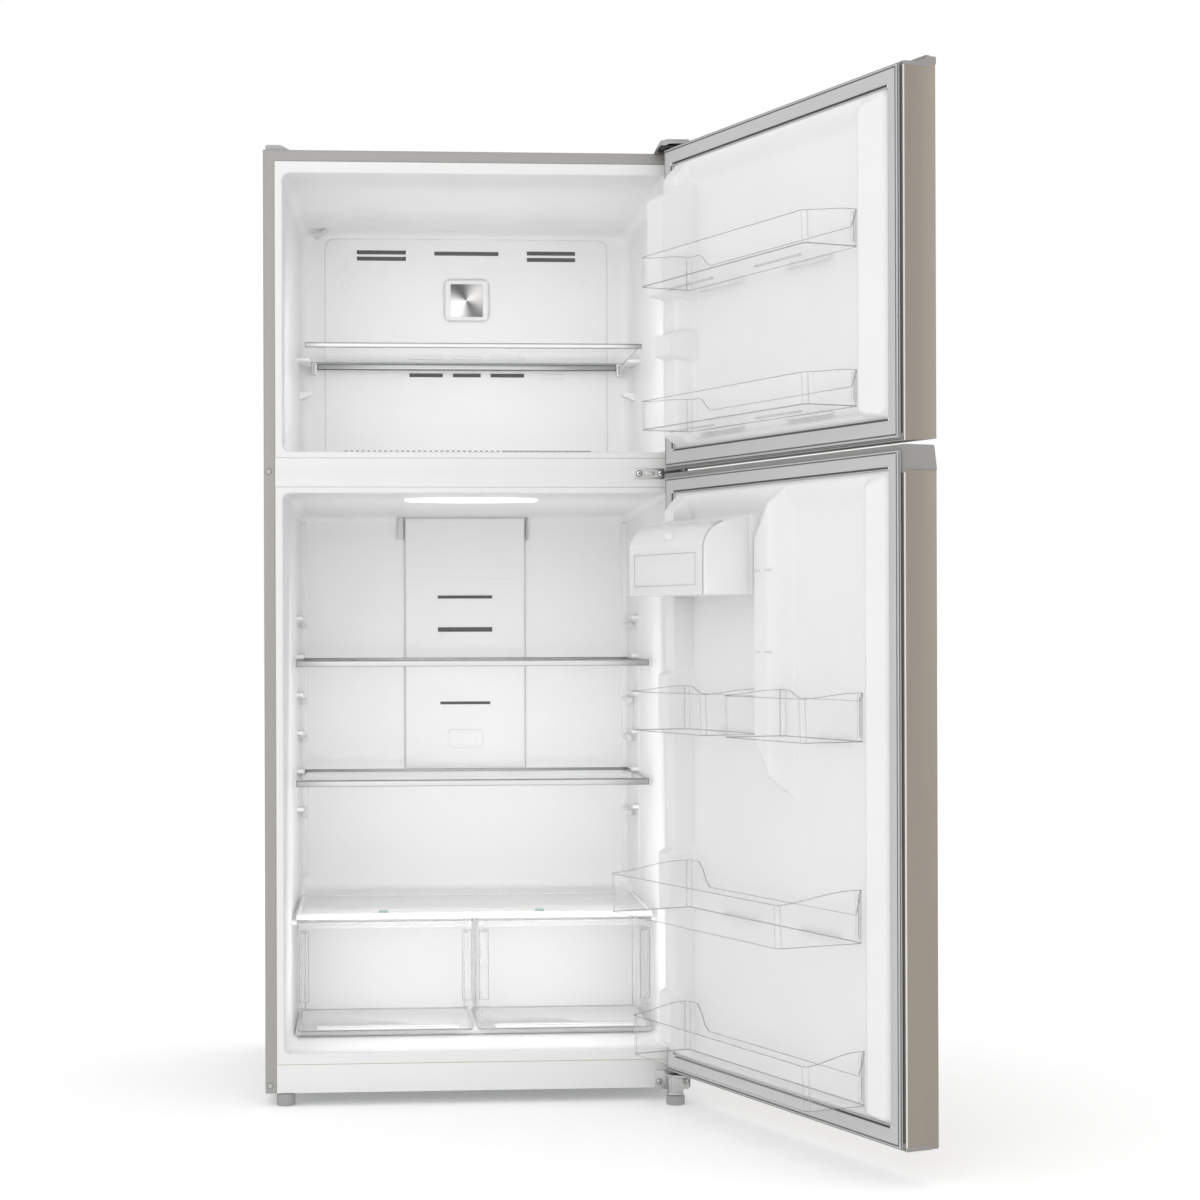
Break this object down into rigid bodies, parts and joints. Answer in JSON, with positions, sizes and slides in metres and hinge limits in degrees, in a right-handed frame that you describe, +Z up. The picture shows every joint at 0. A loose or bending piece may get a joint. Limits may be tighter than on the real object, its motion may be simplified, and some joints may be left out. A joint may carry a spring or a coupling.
{
  "type": "top freezer refrigerator",
  "caption": "Free-standing top freezer refrigerator with both doors open: glass shelves, clear crispers and door bins, a door water tank, hinges, feet and rear rollers.",
  "frame": {"origin": "on the floor below the middle of the whole object with its doors open", "axes": "+X to the right seen from the front, +Y to the back, +Z up"},
  "size_m": [1.0416, 1.3832, 1.716],
  "materials": {
    "cabinet_steel": "hammered silver-grey paint",
    "door_steel": "warm satin stainless",
    "back_steel": "galvanised sheet",
    "zinc_steel": "zinc plated",
    "black_metal": "black enamel",
    "liner_white": "satin moulded white",
    "panel_white": "matt white",
    "foam": "rigid foam",
    "gasket_grey": "soft grey",
    "cap_grey": "grey moulded plastic",
    "foot_grey": "grey moulded plastic",
    "clear_plastic": "clear",
    "shelf_glass": "clear tempered glass",
    "trim_silver": "satin silver",
    "lens_white": "frosted",
    "coil_aluminium": "bare",
    "badge_steel": "brushed"
  },
  "bodies": {
    "cabinet": {"cabinet_shell": "cabinet_steel", "back_panel": "back_steel", "base_pan": "back_steel", "cabinet_foam": "foam", "freezer_liner": "liner_white", "fridge_liner": "liner_white", "mullion_cover": "panel_white", "kick_panel": "panel_white", "freezer_duct_panel": "panel_white", "emblem_badge": "badge_steel", "fan_motor": "zinc_steel", "evaporator_coil": "coil_aluminium", "fridge_duct_panel": "panel_white", "fridge_light_lens": "lens_white", "crisper_cover": "clear_plastic", "compressor": "black_metal", "condenser_coil": "black_metal", "drain_pan": "black_metal", "compressor_cover": "back_steel", "top_hinge_bracket": "zinc_steel", "middle_hinge_bracket": "zinc_steel", "bottom_hinge_bracket": "zinc_steel", "hinge_covers": "cap_grey", "hinge_screws": "zinc_steel"},
    "foot_left": {"foot_left": "foot_grey"},
    "foot_right": {"foot_right": "foot_grey"},
    "roller_left": {"roller_left": "foot_grey"},
    "roller_right": {"roller_right": "foot_grey"},
    "evaporator_fan": {"evaporator_fan": "panel_white"},
    "freezer_shelf": {"freezer_shelf_glass": "shelf_glass", "freezer_shelf_trims": "trim_silver"},
    "upper_shelf": {"upper_shelf_glass": "shelf_glass", "upper_shelf_trims": "trim_silver"},
    "lower_shelf": {"lower_shelf_glass": "shelf_glass", "lower_shelf_trims": "trim_silver"},
    "crisper_left": {"crisper_left": "clear_plastic"},
    "crisper_right": {"crisper_right": "clear_plastic"},
    "humidity_slider_left": {"humidity_slider_left": "panel_white"},
    "humidity_slider_right": {"humidity_slider_right": "panel_white"},
    "freezer_door": {"freezer_door_panel": "door_steel", "freezer_door_foam": "foam", "freezer_door_liner": "liner_white", "freezer_door_gasket": "gasket_grey", "freezer_door_caps": "cap_grey"},
    "fridge_door": {"fridge_door_panel": "door_steel", "fridge_door_foam": "foam", "fridge_door_liner": "liner_white", "fridge_door_gasket": "gasket_grey", "fridge_door_caps": "cap_grey", "dispenser_housing": "cap_grey"},
    "dispenser_lever": {"dispenser_lever": "panel_white"},
    "drip_tray": {"drip_tray": "cap_grey"},
    "water_tank": {"water_tank": "liner_white"},
    "tank_lid": {"tank_lid": "clear_plastic"},
    "freezer_bin_upper": {"freezer_bin_upper": "clear_plastic"},
    "freezer_bin_lower": {"freezer_bin_lower": "clear_plastic"},
    "door_bin_left": {"door_bin_left": "clear_plastic"},
    "door_bin_right": {"door_bin_right": "clear_plastic"},
    "door_bin_middle": {"door_bin_middle": "clear_plastic"},
    "door_bin_bottom": {"door_bin_bottom": "clear_plastic"}
  },
  "joints": [
    {"name": "freezer_door_hinge", "type": "hinge", "parent": "cabinet", "child": "freezer_door", "pos_m": [0.21862, 0.00542, 1.4], "axis": [0, 0, 1], "range_deg": [-111.35, 8.65]},
    {"name": "fridge_door_hinge", "type": "hinge", "parent": "cabinet", "child": "fridge_door", "pos_m": [0.21862, 0.00542, 0.6], "axis": [0, 0, 1], "range_deg": [-111.35, 8.65]},
    {"name": "crisper_left_slide", "type": "slide", "parent": "cabinet", "child": "crisper_left", "axis": [0, -1, 0], "range_m": [0, 0.25]},
    {"name": "crisper_right_slide", "type": "slide", "parent": "cabinet", "child": "crisper_right", "axis": [0, -1, 0], "range_m": [0, 0.19]},
    {"name": "freezer_shelf_slide", "type": "slide", "parent": "cabinet", "child": "freezer_shelf", "axis": [0, -1, 0], "range_m": [0, 0.17]},
    {"name": "upper_shelf_slide", "type": "slide", "parent": "cabinet", "child": "upper_shelf", "axis": [0, -1, 0], "range_m": [0, 0.24]},
    {"name": "lower_shelf_slide", "type": "slide", "parent": "cabinet", "child": "lower_shelf", "axis": [0, -1, 0], "range_m": [0, 0.24]},
    {"name": "humidity_slider_left_slide", "type": "slide", "parent": "cabinet", "child": "humidity_slider_left", "axis": [1, 0, 0], "range_m": [-0.02, 0.02]},
    {"name": "humidity_slider_right_slide", "type": "slide", "parent": "cabinet", "child": "humidity_slider_right", "axis": [1, 0, 0], "range_m": [-0.02, 0.02]},
    {"name": "freezer_bin_upper_lift", "type": "slide", "parent": "freezer_door", "child": "freezer_bin_upper", "axis": [0, 0, 1], "range_m": [0, 0.05]},
    {"name": "freezer_bin_lower_lift", "type": "slide", "parent": "freezer_door", "child": "freezer_bin_lower", "axis": [0, 0, 1], "range_m": [0, 0.05]},
    {"name": "door_bin_left_lift", "type": "slide", "parent": "fridge_door", "child": "door_bin_left", "axis": [0, 0, 1], "range_m": [0, 0.05]},
    {"name": "door_bin_right_lift", "type": "slide", "parent": "fridge_door", "child": "door_bin_right", "axis": [0, 0, 1], "range_m": [0, 0.05]},
    {"name": "door_bin_middle_lift", "type": "slide", "parent": "fridge_door", "child": "door_bin_middle", "axis": [0, 0, 1], "range_m": [0, 0.05]},
    {"name": "door_bin_bottom_lift", "type": "slide", "parent": "fridge_door", "child": "door_bin_bottom", "axis": [0, 0, 1], "range_m": [0, 0.05]},
    {"name": "water_tank_pull", "type": "slide", "parent": "fridge_door", "child": "water_tank", "axis": [-0.9314, -0.3641, 0], "range_m": [0, 0.12]},
    {"name": "tank_lid_pull", "type": "slide", "parent": "water_tank", "child": "tank_lid", "axis": [-0.9314, -0.3641, 0], "range_m": [0, 0.05]},
    {"name": "dispenser_lever_press", "type": "hinge", "parent": "fridge_door", "child": "dispenser_lever", "pos_m": [0.29515, -0.17554, 0.852], "axis": [-0.3641, 0.9314, 0], "range_deg": [0, 4], "stiffness_Nm_per_rad": 0.3, "springref_deg": -2.86},
    {"name": "drip_tray_pull", "type": "slide", "parent": "fridge_door", "child": "drip_tray", "axis": [0.9314, 0.3641, 0], "range_m": [0, 0.035]},
    {"name": "evaporator_fan_spin", "type": "hinge", "parent": "cabinet", "child": "evaporator_fan", "pos_m": [-0.14278, 0.51362, 1.487], "axis": [0, 1, 0], "continuous": true},
    {"name": "foot_left_turn", "type": "hinge", "parent": "cabinet", "child": "foot_left", "pos_m": [-0.48478, 0.04862, 0.01], "axis": [0, 0, 1], "range_deg": [-180, 180]},
    {"name": "foot_right_turn", "type": "hinge", "parent": "cabinet", "child": "foot_right", "pos_m": [0.20322, -0.00338, 0.01], "axis": [0, 0, 1], "range_deg": [-180, 180]},
    {"name": "roller_left_spin", "type": "hinge", "parent": "cabinet", "child": "roller_left", "pos_m": [-0.45278, 0.63662, 0.015], "axis": [1, 0, 0], "continuous": true},
    {"name": "roller_right_spin", "type": "hinge", "parent": "cabinet", "child": "roller_right", "pos_m": [0.16722, 0.63662, 0.015], "axis": [1, 0, 0], "continuous": true}
  ]
}
